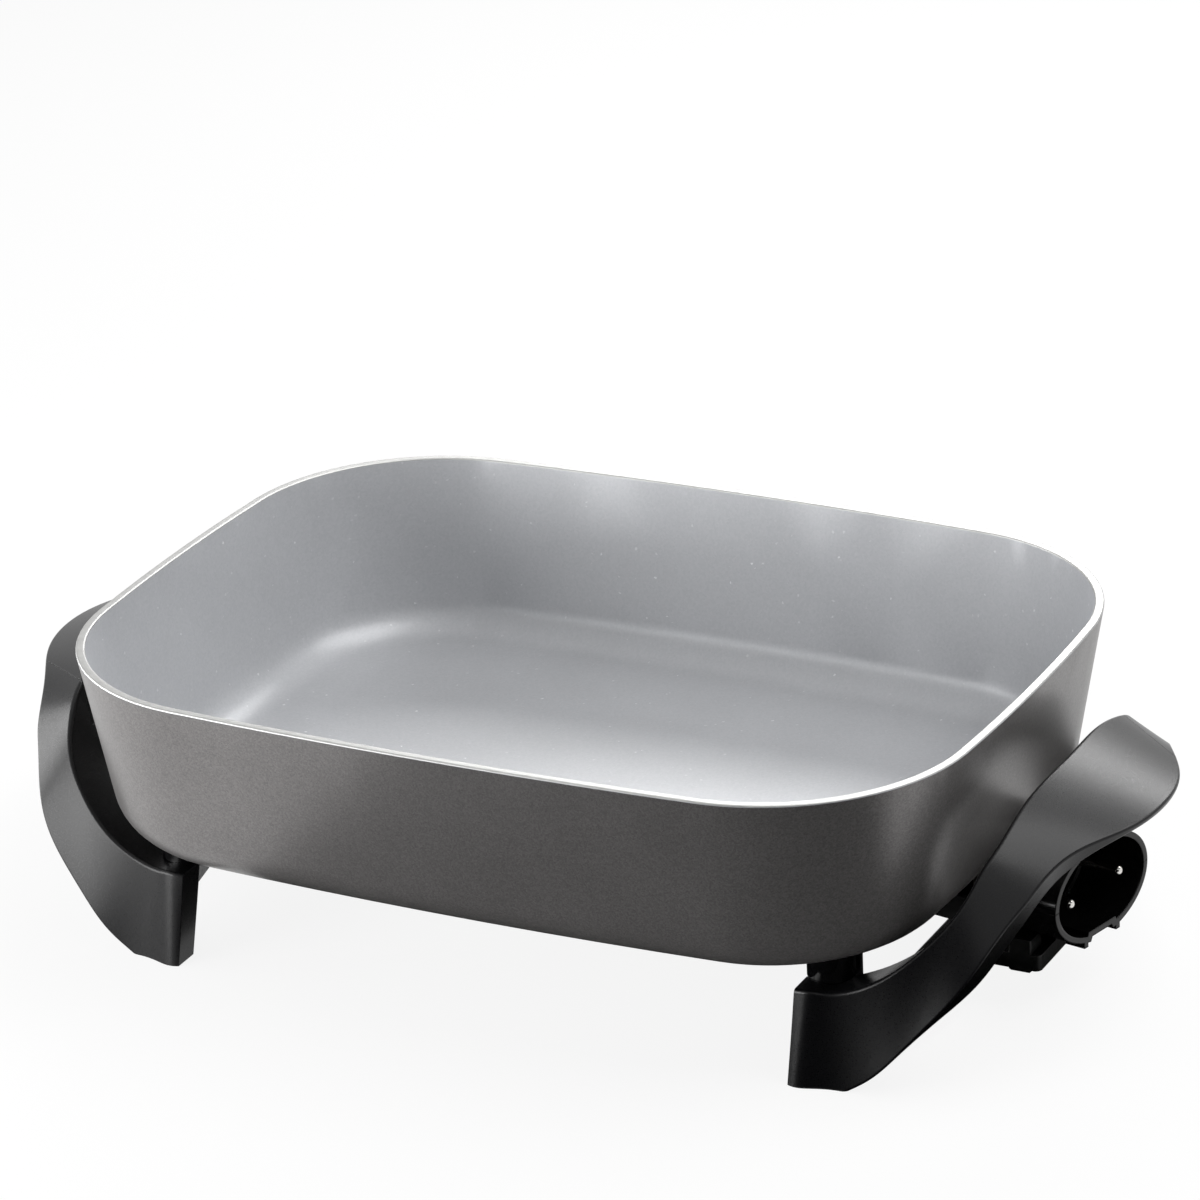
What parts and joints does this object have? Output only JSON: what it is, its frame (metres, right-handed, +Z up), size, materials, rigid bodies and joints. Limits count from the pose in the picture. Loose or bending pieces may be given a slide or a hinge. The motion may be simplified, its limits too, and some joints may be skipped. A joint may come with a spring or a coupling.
{
  "type": "electric skillet",
  "caption": "Rectangular electric skillet with a deep rounded pan, twisted blade handles that run into the legs, and a side socket for a removable heat control.",
  "frame": {"origin": "on the table under the middle of the pan", "axes": "+X along the long side towards the heat-control socket, +Y towards the rear long side, +Z up"},
  "size_m": [0.518, 0.3044, 0.135],
  "materials": {
    "enamelled_pan": "satin",
    "arm_plastic": "satin",
    "standoff_plastic": "gloss",
    "guard_plastic": "semi-gloss",
    "bracket_plastic": "matte",
    "cover_plastic": "matte",
    "insulator_board": "matte",
    "pin_steel": "polished",
    "sheath_steel": "satin",
    "seal_ceramic": "matte",
    "tube_steel": "satin",
    "screw_steel": "satin",
    "washer_steel": "satin"
  },
  "bodies": {
    "root": {"pan": "enamelled_pan", "heating_element": "sheath_steel", "terminal_pin_front": "pin_steel", "terminal_pin_rear": "pin_steel", "terminal_seal_front": "seal_ceramic", "terminal_seal_rear": "seal_ceramic", "sensor_tube": "tube_steel", "right_front_arm": "arm_plastic", "right_rear_arm": "arm_plastic", "left_rear_arm": "arm_plastic", "left_front_arm": "arm_plastic", "arm_joint_screws": "screw_steel", "right_front_standoff": "standoff_plastic", "right_rear_standoff": "standoff_plastic", "left_rear_standoff": "standoff_plastic", "left_front_standoff": "standoff_plastic", "leg_screws": "screw_steel", "leg_washers": "washer_steel", "right_cross_bracket": "bracket_plastic", "left_cross_bracket": "bracket_plastic", "bracket_screws": "screw_steel", "socket_guard_upper": "guard_plastic", "socket_guard_lower": "guard_plastic", "socket_back_plate": "insulator_board", "guard_screws": "screw_steel", "terminal_cover": "cover_plastic", "cover_screws": "screw_steel"}
  },
  "joints": []
}
